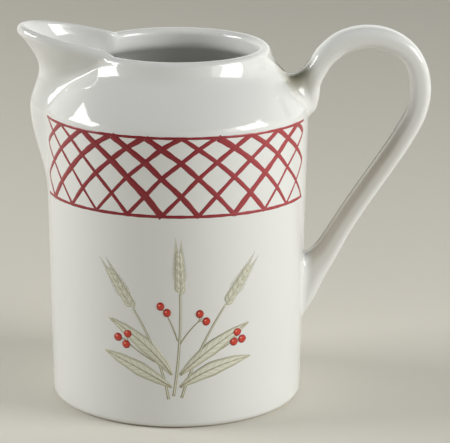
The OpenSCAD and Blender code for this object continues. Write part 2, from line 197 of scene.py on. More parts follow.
# Degrees round from +X, degrees up, width, height and watts of each
softboxes = {
    "softbox_left": (177, 23.2, 490 * mm, 290 * mm, 5.2),
    "softbox_right": (-18.5, 24, 440 * mm, 370 * mm, 5.0),
    "pane_right": (-39.5, 24, 215 * mm, 320 * mm, 0.55),
}
for name, (turn, lift, wide, high, watts) in softboxes.items():
    turn, lift = np.radians(turn), np.radians(lift)
    away = np.array([np.cos(turn) * np.cos(lift), np.sin(turn) * np.cos(lift), np.sin(lift)])
    across = np.array([-np.sin(turn), np.cos(turn), 0.0])
    upward = np.cross(away, across)
    lamp = bpy.data.objects.new(name, bpy.data.lights.new(name, "AREA"))
    lamp.data.shape = "RECTANGLE"
    lamp.data.size = wide
    lamp.data.size_y = high
    lamp.data.energy = watts
    lamp.matrix_world = placed(across, upward, away, box_aim + away * box_far)
    scene.collection.objects.link(lamp)

# The walls are brighter behind the jug and to its right. They end between two heights, given as
# the sine of the angle up, and their tint changes from front to back.
wall_glow, glow_behind, glow_right = 0.70, 0.43, 0.185
wall_top = 0.40, 0.68
wall_front, wall_back = (0.96, 1.0, 1.03, 1), (0.99, 1.0, 0.94, 1)
wall_turn = -0.9, 0.5
ceiling_glow = 0.01
world = bpy.data.worlds.new("room")
world.use_nodes = True
wire = Wire(world.node_tree)
x, y, z = wire.node("ShaderNodeTexCoord").split()
low = 1 - z.step(*wall_top)
glow = (y * glow_behind + x * glow_right + wall_glow) * low + ceiling_glow
hue = y.step(*wall_turn).tint(wall_front, wall_back)
room = wire.node("ShaderNodeVectorMath", {0: hue, "Scale": glow}, operation="SCALE")
wire.tree.links.new(room.socket, world.node_tree.nodes["Background"].inputs["Color"])
scene.world = world
scene.view_settings.view_transform = "Standard"


# Pot. One slip-cast shell of porcelain: straight side, rounded shoulder, closed-in neck, and
# the spout that was stuck over its cut-out and smoothed in. Glazed all over but the foot ring.
_, body_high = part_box("body")
spout_low, spout_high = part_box("spout")
body_r = body_high.y
rim_h = body_high.z
tip_r = -spout_low.x
tip_h = spout_high.z
spout_foot = spout_low.z
base_r = body_r - 1.5 * mm
side_h = 85 * mm
wall = 3 * mm
floor_t = 3 * mm
foot_rise = 1.2 * mm
foot_w = 3 * mm
foot_round = 2 * mm
foot_edge = 0.4 * mm
floor_round = 6 * mm
edge_round = 5 * mm
edge_slope = np.radians(32)
dome_r = 55 * mm
dome_slope = np.radians(44)
rim_r = 27 * mm
rim_round = 1.85 * mm
rim_tilt = np.radians(16)
# How far the neck's cubic is pulled along its ends, outside and inside
neck_bend_share = 0.4
inner_bend_share = 0.58
lip_centre = rim_h - rim_round
# Points on each part of the profile
edge_points, dome_points, neck_points = 9, 8, 26
foot_points, floor_points, foot_edge_points = 9, 12, 5


def arc(centre, radius, start, end, count):
    """Points on a circle round a centre, from one angle to another."""
    a = np.linspace(start, end, count)
    return np.column_stack([centre[0] + radius * np.cos(a), centre[1] + radius * np.sin(a)])


def bend(start, along, end, arriving, reach, count):
    """A cubic from start to end that leaves along one direction and arrives along another."""
    t = np.linspace(0, 1, count)[:, None]
    a = start + along * reach
    b = end - arriving * reach
    s = 1 - t
    return s**3 * start + 3 * s**2 * t * a + 3 * s * t**2 * b + t**3 * end


def outward_at(slope):
    """The way a skin faces that leans in by a slope, as radius and height."""
    return np.array([np.cos(slope), np.sin(slope)])


def upward_at(slope):
    """The way such a skin climbs, as radius and height."""
    return np.array([-np.sin(slope), np.cos(slope)])


def side_profile(inset, top, tilt, bend_share):
    """Shoulder and neck of the round pot as radius and height, drawn inwards by a wall: an arc
    for the edge, a wider arc for the dome, and a cubic to the rim that arrives tilted."""
    edge_centre = np.array([body_r - edge_round, side_h])
    edge_end = edge_centre + edge_round * outward_at(edge_slope)
    dome_centre = edge_end - dome_r * outward_at(edge_slope)
    dome_end = dome_centre + (dome_r - inset) * outward_at(dome_slope)
    reach = np.linalg.norm(top - dome_end) * bend_share
    return np.vstack([
        arc(edge_centre, edge_round - inset, 0, edge_slope, edge_points),
        arc(dome_centre, dome_r - inset, edge_slope, dome_slope, dome_points)[1:],
        bend(dome_end, upward_at(dome_slope), top, upward_at(tilt), reach, neck_points)[1:],
    ])


outer_rim = np.array([rim_r - rim_round, lip_centre]) + rim_round * outward_at(rim_tilt)
inner_rim = np.array([rim_r - 2 * rim_round, lip_centre])
outer_upper = side_profile(0, outer_rim, rim_tilt, neck_bend_share)
inner_upper = side_profile(wall, inner_rim, 0, inner_bend_share)
inner_floor = foot_rise + floor_t
floor_corner = [base_r - wall - floor_round, inner_floor + floor_round]
outer_foot = arc([base_r - foot_round, foot_round], foot_round, -np.pi / 2, 0, foot_points)
inner_foot = arc(floor_corner, floor_round, -np.pi / 2, 0, floor_points)


def round_outer(height):
    """Radius of the round pot's outside at a height, between the points of its profile."""
    table = np.vstack([outer_foot, outer_upper])
    return np.interp(height, table[:, 1], table[:, 0])


def round_inner(height):
    """Radius of the round pot's inside at a height."""
    table = np.vstack([inner_foot, inner_upper])
    return np.interp(height, table[:, 1], table[:, 0])


# The spout swells out from the side, draws in to its waist and flares to its lip
throat_out = 4.3 * mm
swell = side_h + 1 * mm
waist = side_h + 12.3 * mm
waist_r = rim_r + 12.6 * mm
throat_half_w = 10.5 * mm
waist_half_w = 11.1 * mm
lip_half_w = 16.3 * mm
lip_flare = 1.6
flare_low, flare_high = side_h + 8.2 * mm, side_h + 20.5 * mm
# By which power of the way the rim climbs to the tip, and how far out it starts
lip_climb = 1.05
climb_start = 0.6 * rim_r
# How far the spout's widest line is from the axis, low down and at the lip
throat_root = 17.5 * mm
lip_root = 23 * mm
spout_wall = 2.8 * mm
# How softly spout and pot run into each other, at some heights, and how much more so inside
crease_heights = np.array([60, 86, 91, 95, 98, 101, 104]) * mm
creases = np.array([4.0, 6.0, 4.8, 4.5, 4.2, 2.8, 4.0]) * mm
crease_inside = 6 * mm
# Over how many degrees to each side the join is wiped smooth, at some heights
wipe_heights = np.array([86, 98, 100.5, 103.5]) * mm
wipe_inside = [9, 13, 13, 10]
wipe_outside = [0, 0.4, 2.5, 7]
# In the mean the middle weighs wipe_peak, and the outermost of both sides 1 less
wipe_sides = np.linspace(-1, 1, 9)
wipe_peak = 1.2
wipe_weights = wipe_peak - np.abs(wipe_sides)
lip_round = 1.5 * mm
lip_lean = np.radians(45)
lip_end_h = tip_h - lip_round * (1 + np.sin(lip_lean))
lip_end_r = tip_r - lip_round * (1 - np.cos(lip_lean))
# The skin's lean under the rim is taken over a short step and evened out with its neighbours.
# The inside moves over to the rim's bead within a height below it.
lean_step = 0.3 * mm
even_span, even_rounds = 8, 2
bead_rounds = 3
settle_h = 7 * mm
# Rows of points up the outside, over the bead and down the inside, and up the plain side
outer_rows, bead_rows, inner_rows = 80, 18, 60
side_rows = 12
# Lines of points round the pot, and how much closer together they lie at the spout
pot_lines = 360
crowding = 0.45
# Rings of points in the flat floor
floor_rings = 8 * mm, 20 * mm


def ease(t):
    """A smooth climb from 0 to 1."""
    t = np.clip(t, 0, 1)
    return t * t * (3 - 2 * t)


def mix(a, b, t):
    """The value a share t of the way from a to b."""
    return a + (b - a) * t


def spout_reach(height):
    """How far the spout's outside stands from the axis on the middle plane: it swells from
    the side, draws in to a waist and flares out to the lip, each by a smooth climb."""
    rise = ease((height - spout_foot) / (swell - spout_foot))
    draw = ease((height - swell) / (waist - swell))
    flare = np.maximum((height - waist) / (lip_end_h - waist), 0) ** lip_flare
    low = mix(round_outer(spout_foot), body_r + throat_out, rise)
    middle = mix(body_r + throat_out, waist_r, draw)
    high = mix(waist_r, lip_end_r, flare)
    return np.where(height < swell, low, np.where(height < waist, middle, high))


def spout_width(height):
    """Half the spout's width and the distance of its widest line from the axis: a little wider
    at the waist than at the throat, and widest and farthest out at the lip."""
    draw = ease((height - swell) / (waist - swell))
    flare = ease((height - flare_low) / (flare_high - flare_low))
    half_w = mix(mix(throat_half_w, waist_half_w, draw), lip_half_w, flare)
    return half_w, mix(throat_root, lip_root, flare)


def oval_radius(turn, root, along, across):
    """Distance from the axis, along a direction, of an ellipse round the spout's root."""
    a = (np.cos(turn) / along) ** 2 + (np.sin(turn) / across) ** 2
    b = root * np.cos(turn) / along**2
    c = (root / along) ** 2 - 1
    d = b * b - a * c
    return np.where(d > 0, (b + np.sqrt(np.maximum(d, 0))) / a, 0)


def soft_larger(a, b, crease):
    """The larger of two lengths, with the crease where they are equal filled round."""
    h = np.maximum(crease - np.abs(a - b), 0) / crease
    return np.maximum(a, b) + h * h * crease / 4


def rim_top(turn):
    """Height of the rim along a direction: level round the neck, climbing to the tip."""
    plan = oval_radius(turn, lip_root, tip_r - lip_root, lip_half_w) * np.cos(turn)
    t = np.clip((plan - climb_start) / (tip_r - climb_start), 0, 1)
    return rim_h + (tip_h - rim_h) * t**lip_climb


def joined_radius(turn, height, inside):
    """Radius of the pot's skin, its outer one where inside is 0 and its inner one where it is
    1: the larger of the round pot and the spout's oval, softened where the two cross."""
    inset = spout_wall * inside
    plain = round_inner(height) if inside else round_outer(height)
    crease = np.interp(height, crease_heights, creases) + crease_inside * inside
    # The oval's own reach, so that with the crease's filling it comes to the stated one
    beyond = np.maximum(spout_reach(height) - inset - plain, 0)
    reach = plain + np.where(beyond < crease, np.sqrt(4 * crease * beyond) - crease, beyond)
    half_w, root = spout_width(height)
    oval = oval_radius(turn, root, reach - root, half_w - inset)
    return np.where(height > spout_foot, soft_larger(plain, oval, crease), plain)


def pot_radius(turn, height, inside):
    """The joined radius, evened out over a few degrees to both sides: the mean of its values
    there, with weights that fall to the sides."""
    wiped = np.interp(height, wipe_heights, wipe_inside if inside else wipe_outside)
    spread = np.radians(wiped)
    total = sum(weight * joined_radius(turn + side * spread, height, inside)
                for side, weight in zip(wipe_sides, wipe_weights))
    return total / wipe_weights.sum()


def pot_lean(turn, height, inside):
    """Angle by which the skin leans outwards from upright, just under a height."""
    below = pot_radius(turn, height - lean_step, inside)
    return np.arctan2(pot_radius(turn, height, inside) - below, lean_step)


def evened(values):
    """Values round the pot, averaged in a few rounds with their neighbours to both sides."""
    for _ in range(even_rounds):
        total = sum(np.roll(values, k) for k in range(-even_span, even_span + 1))
        values = total / (2 * even_span + 1)
    return values


def pot_shell(turn):
    """Radius and height of the pot above the spout's foot, in rows from outside over the rim to
    inside, for a row of directions. The rim is a round bead that both walls run into."""
    top = rim_top(turn)
    bead = mix(rim_round, lip_round, (top - rim_h) / (tip_h - rim_h))
    centre_h = top - bead
    outer_top = centre_h
    for _ in range(bead_rounds):
        lean_out = evened(pot_lean(turn, outer_top, 0))
        outer_top = centre_h - bead * np.sin(lean_out)
    centre_r = pot_radius(turn, outer_top, 0) - bead * np.cos(lean_out)
    lean_in = evened(pot_lean(turn, centre_h, 1))
    inner_top = centre_h + bead * np.sin(lean_in)
    shift = centre_r - bead * np.cos(lean_in) - pot_radius(turn, inner_top, 1)
    climb = np.linspace(0, 1, outer_rows)[1:, None]
    outer_h = mix(spout_foot, outer_top, climb)
    over = np.linspace(0, 1, bead_rows)[1:-1, None]
    a = mix(-lean_out, np.pi - lean_in, over)
    fall = np.linspace(1, 0, inner_rows)[:, None]
    inner_h = mix(spout_foot, inner_top, fall)
    settle = ease(1 - (inner_top - inner_h) / settle_h)
    inner_r = pot_radius(turn, inner_h, 1) + shift * settle
    radius = np.vstack([pot_radius(turn, outer_h, 0), centre_r + bead * np.cos(a), inner_r])
    return radius, np.vstack([outer_h, centre_h + bead * np.sin(a), inner_h])


def ring_faces(rings, sides):
    """Quads between rings of points that are numbered ring by ring. Each ring is closed."""
    i, j = np.meshgrid(np.arange(rings - 1), np.arange(sides), indexing="ij")
    here, beside = i * sides + j, i * sides + (j + 1) % sides
    return np.stack([here, beside, beside + sides, here + sides], -1).reshape(-1, 4)


def add_piece(name, points, faces, surface, slot, replaced):
    """A piece of the jug from points and faces, smooth, riding on the one body."""
    mesh = bpy.data.meshes.new(name)
    mesh.from_pydata(points.tolist(), [], faces)
    mesh.polygons.foreach_set("use_smooth", np.ones(len(mesh.polygons), bool))
    mesh.materials.append(surface)
    piece = bpy.data.objects.new(name, mesh)
    scene.collection.objects.link(piece)
    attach(piece, "root")
    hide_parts(*replaced)
    return piece


even = np.linspace(-np.pi, np.pi, pot_lines, endpoint=False)
directions = even - crowding * np.sin(even)
shell_r, shell_h = pot_shell(directions)
outer_side = np.linspace(foot_round, spout_foot, side_rows)[1:]
inner_side = np.linspace(spout_foot, inner_floor + floor_round, side_rows)[1:]
foot_inner_r = base_r - foot_round - foot_w
recess_corner = [foot_inner_r - foot_edge, foot_rise - foot_edge]
under = np.vstack([
    [[r, foot_rise] for r in floor_rings],
    arc(recess_corner, foot_edge, np.pi / 2, 0, foot_edge_points),
    arc([foot_inner_r + foot_edge, foot_edge], foot_edge, np.pi, 1.5 * np.pi, foot_edge_points),
    outer_foot,
])
bottom = np.vstack([inner_foot[::-1], [[r, inner_floor] for r in floor_rings[::-1]]])


def turned(r, z):
    """Rings of points from columns of radius and height."""
    return np.stack([-r * np.cos(directions), r * np.sin(directions), z + 0 * directions], axis=-1)


rings = np.concatenate([
    turned(under[:, :1], under[:, 1:]),
    turned(round_outer(outer_side)[:, None], outer_side[:, None]),
    turned(shell_r, shell_h),
    turned(round_inner(inner_side)[:, None], inner_side[:, None]),
    turned(bottom[1:, :1], bottom[1:, 1:]),
])
count = len(rings)
points = np.vstack([rings.reshape(-1, 3), [[0, 0, foot_rise], [0, 0, inner_floor]]])
around = np.arange(pot_lines)
after = (around + 1) % pot_lines
last = (count - 1) * pot_lines
hub = np.full(pot_lines, count * pot_lines)
faces = ring_faces(count, pot_lines)[:, ::-1].tolist()
faces += np.column_stack([around, after, hub]).tolist()
faces += np.column_stack([last + after, last + around, hub + 1]).tolist()

glaze_pale, glaze_dull = (0.80, 0.80, 0.77, 1), (0.775, 0.78, 0.745, 1)
glaze_rough, glaze_ior = 0.07, 1.5
ripple_scale, shade_scale = 55.0, 30.0
ripple_strength = 0.04
# The glaze pooled olive in the corner between shoulder and handle, and the corner's shade is
# painted in with it: partly glaze colour, partly painted shade
pool_and_shade_olive = (0.36, 0.34, 0.245, 1)
pool_and_shade_r, pool_and_shade_h = 33 * mm, 94.5 * mm
pool_and_shade_size = np.array([9.5, 11.0, 8.0]) * mm
# Painted shade on the strap's long inner side, which faces the pot: how much of that grey it
# takes, from which distance to the axis, up to which height, and how far the side faces the pot
painted_shade_grey = (0.55, 0.50, 0.42, 1)
painted_shade_share = 0.85
painted_shade_from = 38.2 * mm, 40 * mm
painted_shade_up_to = 70 * mm, 92 * mm
painted_shade_facing = -0.5, 0.5
# The foot ring was wiped bare of glaze and is dull, fired clay
clay = (0.66, 0.62, 0.54, 1)
clay_rougher = 0.6
bare_up_to = 0.5 * mm, 0.8 * mm

porcelain, wire = material("glazed_porcelain")
place = wire.place()
ripple = wire.noise(place, ripple_scale, 1.0)
shade = wire.noise(place, shade_scale, 2.0)
colour = shade.tint(glaze_pale, glaze_dull)
x, y, z = place.split()
# Partly pooled glaze, partly painted shade: dark olive in a soft ellipsoid round the handle's upper
# corner
ax, ay, az = (x - pool_and_shade_r) / pool_and_shade_size[0], y / pool_and_shade_size[1], (z - pool_and_shade_h) / pool_and_shade_size[2]
glaze_pool_and_shade = 1 - (ax * ax + ay * ay + az * az).step(0.0, 1.0)
colour = glaze_pool_and_shade.tint(colour, pool_and_shade_olive)
# How far the surface faces away from the handle, by its normal
inward = wire.node("ShaderNodeNewGeometry", output=1).split()[0] * -1
# Painted shade: greyer on the strap's side that faces the pot, by its normal, distance out and
# height
thick = inward.step(*painted_shade_facing) * x.step(*painted_shade_from) * (1 - z.step(*painted_shade_up_to))
colour = (thick * painted_shade_share).tint(colour, painted_shade_grey)
bare = 1 - z.step(*bare_up_to)
colour = bare.tint(colour, clay)
wave = wire.node("ShaderNodeBump", {
    "Height": ripple, "Strength": ripple_strength, "Distance": 1 * mm,
})
finish_surface(wire, {
    "Base Color": colour, "Roughness": glaze_rough + bare * clay_rougher,
    "Normal": wave, "IOR": glaze_ior,
})
add_piece("pot", points, faces, porcelain, "glazed_porcelain", ["body", "spout"])


# Handle. A pulled and pressed strap of the same porcelain, between an ellipse and a rectangle
# in section. Stuck on to shoulder and side with slip, which fills the corners round.
handle_out = 32.3 * mm
handle_rise = 21.1 * mm
handle_foot = 26.0 * mm
strap_w = 9 * mm
strap_t = 5.9 * mm
# The strap's middle line from shoulder to foot: shares of handle_out from the pot's side, and
# of the height from handle_foot up to the arch
path_shares = np.array([
    [-0.114, 0.736], [-0.056, 0.760], [-0.024, 0.786], [0.011, 0.841], [0.078, 0.888],
    [0.151, 0.932], [0.301, 0.981], [0.500, 1.001], [0.700, 0.990], [0.872, 0.949],
    [0.972, 0.885], [1.007, 0.803], [0.971, 0.720], [0.876, 0.641], [0.761, 0.564],
    [0.585, 0.457], [0.442, 0.368], [0.324, 0.289], [0.196, 0.198], [0.060, 0.124],
    [-0.036, 0.048], [-0.133, -0.013], [-0.203, -0.058],
])
# How many times strap_t its thickness is at those points, and what share of that swelling its
# width takes
strap_swells = np.array([
    1.02, 1.49, 1.39, 1.19, 1.02, 1.04, 1.06, 1.06, 1.04, 1.02, 1.02, 1.02,
    1.00, 1.00, 1.00, 1.00, 1.02, 1.04, 1.19, 1.58, 1.66, 1.70, 1.70,
])
width_share = 0.25
strap_squareness = 3
# Slip fills the corner to the skin, in mm from the strap's inner face over its edge to its
# outer face, at the shoulder and at the side
fillet_at = [0, 0.5, 1]
shoulder_fillets = [1.0, 3.0, 5.5]
side_fillets = [2.0, 2.0, 0.8]
# The widened foot runs on as a skirt just under the skin: how far out, and how deep
skirt = np.array([0.5, 1.0, 1.6]) * mm
sunk = -np.array([0.02, 0.06, 0.12]) * mm
press_rounds = 4
# Keeps the way out calm where the strap runs along the skin
calm = 0.05
# Rings from one of the line's points to the next, points in a ring, and rings in the end
ring_steps, ring_sides, strap_rings = 14, 44, 260
# The step up and down over which the skin's slope is taken
skin_step = 0.2 * mm


def through(values, place):
    """A smooth curve through a list of values, at places between its first and last: the
    Catmull-Rom cubic."""
    i = np.minimum(place.astype(int), len(values) - 2)
    t = place - i
    p0, p1 = values[np.maximum(i - 1, 0)], values[i]
    p2, p3 = values[i + 1], values[np.minimum(i + 2, len(values) - 1)]
    t = t.reshape(t.shape + (1,) * (p1.ndim - t.ndim))
    square = 2 * p0 - 5 * p1 + 4 * p2 - p3
    cube = 3 * p1 - p0 - 3 * p2 + p3
    return (2 * p1 + (p2 - p0) * t + square * t**2 + cube * t**3) / 2


ring_count = (len(path_shares) - 1) * ring_steps + 1
place = np.linspace(0, len(path_shares) - 1, ring_count)
out_share, up_share = through(path_shares, place).T
low_r = base_r + (body_r - base_r) * (handle_foot - foot_round) / (side_h - foot_round)
path = np.column_stack([
    mix(low_r, body_r, up_share) + handle_out * out_share,
    mix(handle_foot, side_h + handle_rise, up_share),
])
along = np.gradient(path, axis=0)
along /= np.linalg.norm(along, axis=1, keepdims=True)
thickness = through(strap_swells, place)
half_w = (strap_w * mix(1, thickness, width_share) / 2)[:, None]
half_t = (strap_t * thickness / 2)[:, None]
angle = np.arange(ring_sides) * 2 * np.pi / ring_sides
c, s = np.cos(angle)[None, :], np.sin(angle)[None, :]
q = (np.abs(c) ** strap_squareness + np.abs(s) ** strap_squareness) ** (-1 / strap_squareness)
wide, thick = half_w * c * q, half_t * s * q
strap = np.stack([
    path[:, :1] - along[:, 1:] * thick, wide, path[:, 1:] + along[:, :1] * thick,
], axis=-1)
lean_w = np.sign(c) * np.abs(c * q) ** (strap_squareness - 1) / half_w
lean_t = np.sign(s) * np.abs(s * q) ** (strap_squareness - 1) / half_t
outward = np.stack([-along[:, 1:] * lean_t, lean_w, along[:, :1] * lean_t], axis=-1)
outward /= np.linalg.norm(outward, axis=-1, keepdims=True)


def over_skin(points):
    """Which way the round pot's skin faces near some points, and how far off it they are."""
    radius = np.hypot(points[..., 0], points[..., 1])
    drop = round_outer(points[..., 2] - skin_step) - round_outer(points[..., 2] + skin_step)
    slope = np.arctan2(drop, 2 * skin_step)
    flat = np.cos(slope) / radius
    facing = np.stack([flat * points[..., 0], flat * points[..., 1], np.sin(slope)], axis=-1)
    return facing, (radius - round_outer(points[..., 2])) * np.cos(slope)


def sampled(rings, place):
    """Values of rings at a place along each of the strap's lines, between whole rings."""
    i = np.clip(place.astype(int), 0, len(rings) - 2)
    column = np.arange(rings.shape[1])[None, :]
    share = (place - i)[..., None]
    return rings[i, column] * (1 - share) + rings[i + 1, column] * share


# Each line of the strap runs from skin to skin, with its points closer together at the ends
facing, gap = over_skin(strap)
count = len(strap)
clear = gap > 0
first = np.argmax(clear, axis=0)
final = count - 1 - np.argmax(clear[::-1], axis=0)
line = np.arange(ring_sides)
start = first - gap[first, line] / (gap[first, line] - gap[first - 1, line])
stop = final + gap[final, line] / (gap[final, line] - gap[final + 1, line])
spread = (1 - np.cos(np.linspace(0, np.pi, strap_rings)))[:, None] / 2
station = mix(start, stop, spread)
lines = sampled(strap, station)
outward = sampled(outward, station)
facing, gap = over_skin(lines)
gap = np.maximum(gap, 0)
outer_share = (1 + s * q) / 2
upper_fillet = np.interp(outer_share, fillet_at, shoulder_fillets) * mm
lower_fillet = np.interp(outer_share, fillet_at, side_fillets) * mm
fillet = np.where(spread < 0.5, upper_fillet, lower_fillet)
near = np.clip(gap / fillet, 0, 1)
widen = fillet * (1 - np.sqrt(1 - (1 - near) ** 2))
sideways = outward - (outward * facing).sum(-1, keepdims=True) * facing
sideways /= np.linalg.norm(sideways, axis=-1, keepdims=True) + calm
top_skirt = lines[:1] + sideways[:1] * (widen[:1] + skirt[::-1, None])[..., None]
low_skirt = lines[-1:] + sideways[-1:] * (widen[-1:] + skirt[:, None])[..., None]
strap = np.concatenate([top_skirt, lines + sideways * widen[..., None], low_skirt])
# Where the strap is close to the skin it is pressed to the distance that it had, or sunk
depth = np.broadcast_to(sunk[:, None], (len(sunk), ring_sides))
wanted = np.concatenate([depth[::-1], gap, depth])
close = np.concatenate([depth < 0, near < 1, depth < 0])
for _ in range(press_rounds):
    facing, gap = over_skin(strap)
    strap += facing * np.where(close, wanted - gap, 0)[..., None]


def tube_faces(rings, sides):
    """Faces of a tube of points numbered ring by ring, closed by one face at each end."""
    faces = ring_faces(rings, sides).tolist()
    faces.append(list(range(sides))[::-1])
    faces.append(list(range((rings - 1) * sides, rings * sides)))
    return faces


points = strap.reshape(-1, 3)
faces = tube_faces(*strap.shape[:2])
add_piece("handle_strap", points, faces, porcelain, "glazed_porcelain", ["handle"])


# Lattice band. Diamonds of hand-painted bars between two thin borders, in red enamel that was
# printed as a transfer and fired on to the glaze, on the front and mirrored on the back.
band_top, band_low = 84.95 * mm, 62.55 * mm
# Azimuths of the columns of crossings
columns_at = np.radians([
    -164.3, -157.0, -149.4, -141.6, -134.3, -126.7, -118.8, -111.4, -103.5, -96.4,
    -88.2, -80.8, -72.9, -65.0, -57.1, -49.2, -41.6, -34.4, -26.0, -19.2,
])
# Each bar's column at the band's foot, and its widths in mm at foot and top
rising = {
    -3: (1.2, 1.2), -1: (1.0, 1.3), 1: (1.4, 1.35), 3: (0.95, 1.3), 5: (0.6, 1.3),
    7: (0.95, 1.0), 9: (0.85, 1.2), 11: (0.9, 1.15), 13: (1.45, 1.4), 15: (0.6, 0.7),
    17: (0.55, 0.65),
}
falling = {
    1: (0.7, 0.7), 3: (0.6, 0.6), 5: (0.6, 0.8), 7: (0.9, 0.75), 9: (1.85, 1.4),
    11: (1.2, 1.6), 13: (1.0, 1.5), 15: (1.1, 0.95), 17: (0.7, 1.6), 19: (0.6, 1.25),
    21: (0.85, 1.2), 23: (1.2, 1.2),
}
# Heights of the rows of crossings in mm: the first, and the step up, which shrinks
row_first, row_step, row_shrink = 62.6, 6.0, 0.305
band_rows = 5
# The rows between which the bars run
row_low, row_high = -0.04, 4.95
# The band lies this much higher at its middle and drops this much from there to its ends, in
# mm, with its middle and half its length in degrees
band_lift, band_drop = 0.25, 0.75
band_middle, band_half = -105, 80
border_low, border_high = 0.85 * mm, 0.75 * mm
border_over = np.radians([1.5, 1.0])
border_lift = 0.02 * mm
enamel_h = 0.05 * mm
layer_h = 0.012 * mm
bar_steps, border_steps = 90, 300
# The enamel ran a little when it was fired
bar_spread = 0.25 * mm
# A bar's section: a low roof with its eaves in the glaze, in shares of width and of enamel_h
bar_across = np.array([-0.56, -0.46, 0.0, 0.46, 0.56])
bar_rise = np.array([-1.0, 0.6, 1.0, 0.6, -1.0])
# How much the widths waver, slowly and fast, and at what pace
bar_wavers = 0.07, 0.04
bar_fast = 11
border_wavers = 0.08, 0.05
border_slow, border_fast = 23, 61


def on_side(azimuth, height, lift):
    """Points lifted off the pot's skin, at azimuths about +Z from +X and at heights."""
    turn = np.pi - azimuth
    r = pot_radius(turn, height, 0) + lift
    return np.stack([r * np.cos(azimuth), r * np.sin(azimuth), height], axis=-1)


def row_height(row):
    """Height of the lattice's crossings in a row: the rows grow shorter upwards."""
    return (row_first + row_step * row - row_shrink * row**2) * mm


def sag(azimuth):
    """How far the band is off its level, because it was laid on by hand and hangs a little at
    its two ends: its lift, less its drop times the square of the share of its half length."""
    return (band_lift - band_drop * ((np.degrees(azimuth) - band_middle) / band_half) ** 2) * mm


def ribbon(azimuth, height, width, lift):
    """A closed flat bead of enamel along a line on the pot's side: points and faces. Its
    section is set across the line on the skin, as wide as the line is at each point."""
    run = np.column_stack([np.gradient(azimuth) * body_r, np.gradient(height)])
    run /= np.linalg.norm(run, axis=1, keepdims=True)
    rise = bar_rise * enamel_h + lift
    offset = width[:, None] * bar_across[None, :]
    a = azimuth[:, None] - run[:, 1:] * offset / body_r
    h = height[:, None] + run[:, :1] * offset
    points = on_side(a, h, rise[None, :] + 0 * h)
    return points.reshape(-1, 3), tube_faces(*points.shape[:2])


def joined(marks):
    """All marks as one: their points in a row, and their faces numbered to match."""
    faces, count = [], 0
    for points, own_faces in marks:
        faces += [[count + i for i in face] for face in own_faces]
        count += len(points)
    return np.vstack([points for points, _ in marks]), faces


def mirrored(points, faces):
    """The same marks on the jug's other side, with the faces turned round to point outwards."""
    return points * [1, -1, 1], [face[::-1] for face in faces]


rng = np.random.default_rng(5)
ribbons = []
last_column = len(columns_at) - 1
for step, lift, family in ((1, 0.0, rising), (-1, layer_h, falling)):
    for start, (low_w, high_w) in family.items():
        # The line passes column start + step * row, between the band's first and last column
        ends = sorted([-start * step, (last_column - start) * step])
        row = np.linspace(max(row_low, ends[0]), min(row_high, ends[1]), bar_steps)
        slow = np.sin(row * rng.uniform(3, 5) + rng.uniform(0, 6))
        fast = np.sin(row * bar_fast + rng.uniform(0, 6))
        uneven = 1 + bar_wavers[0] * slow + bar_wavers[1] * fast
        width = (mix(low_w, high_w, row / band_rows) * mm + bar_spread) * uneven
        azimuth = through(columns_at, np.clip(start + step * row, 0, last_column))
        ribbons.append(ribbon(azimuth, row_height(row) + sag(azimuth), width, lift))
sweep = np.linspace(columns_at[0] - border_over[0], columns_at[-1] + border_over[1], border_steps)
slow, fast = np.sin(sweep * border_slow), np.sin(sweep * border_fast + 1)
uneven = 1 + border_wavers[0] * slow + border_wavers[1] * fast
for height, width in ((band_low, border_low), (band_top, border_high)):
    ribbons.append(ribbon(sweep, height + sag(sweep), width * uneven, border_lift))

enamel_dark, enamel_bright = (0.20, 0.008, 0.014, 1), (0.29, 0.014, 0.022, 1)
enamel_rough = 0.15
mottle_scale = 900.0
# It is painted lighter towards the band's two ends, partly as thinner enamel and partly as painted
# sheen on the sides that face the lamps: from where, and by how much
enamel_thin_and_sheen = (0.52, 0.085, 0.095, 1)
right_from, thin_and_sheen_right = (-4 * mm, 30 * mm), 0.6
left_from, thin_and_sheen_left = (-22 * mm, -38 * mm), 0.4

enamel, wire = material("red_enamel")
place = wire.place()
x, y, z = place.split()
mottle = wire.noise(place, mottle_scale, 2.0)
colour = mottle.tint(enamel_dark, enamel_bright)
# Partly thinner enamel, partly painted sheen: lighter red towards the band's two ends
thin_and_sheen = x.step(*right_from) * thin_and_sheen_right + x.step(*left_from) * thin_and_sheen_left
colour = thin_and_sheen.tint(colour, enamel_thin_and_sheen)
finish_surface(wire, {"Base Color": colour, "Roughness": enamel_rough})
band = joined(ribbons)
add_piece("lattice_front", *band, enamel, "red_enamel", ["lattice_transfer_front"])
add_piece("lattice_back", *mirrored(*band), enamel, "red_enamel", ["lattice_transfer_back"])


# Spray. Ears of grain, long leaves and berries on bowed stalks, drawn like a soft pencil print
# in sage, olive grey and cream with a little red, and fired on to the glaze below the band.
spray_foot = 9 * mm
spray_h = 46 * mm
# All the sizes that follow are shares of spray_h, but for the one in mm. Stems, leaves and
# stalks are each given by the foot, bow and head of their curve.
ears = np.array([
    [[-0.02, 0.02], [0.03, 0.34], [0.02, 0.68]],
    [[-0.05, 0.00], [-0.10, 0.30], [-0.27, 0.58]],
    [[0.03, 0.01], [0.12, 0.32], [0.30, 0.60]],
])
# Grains stand in pairs up the ear: the first, the step to the next, how much one side is
# higher, how far from the stem, their lean in degrees and their length, both less further up
grain_pairs = 9
grain_first, grain_step, grain_stagger, grain_aside = 0.006, 0.0265, 0.006, 0.004
grain_lean, lean_less = 26, 1.6
grain_long, long_less = 0.060, 0.0012
grain_w, grain_curl, grain_edge = 0.028, 0.010, 0.0065
# A grain is plump like this stretch of a sine's hump, to this power
plump_from, plump_to, plump_power = 0.04, 0.98, 0.75
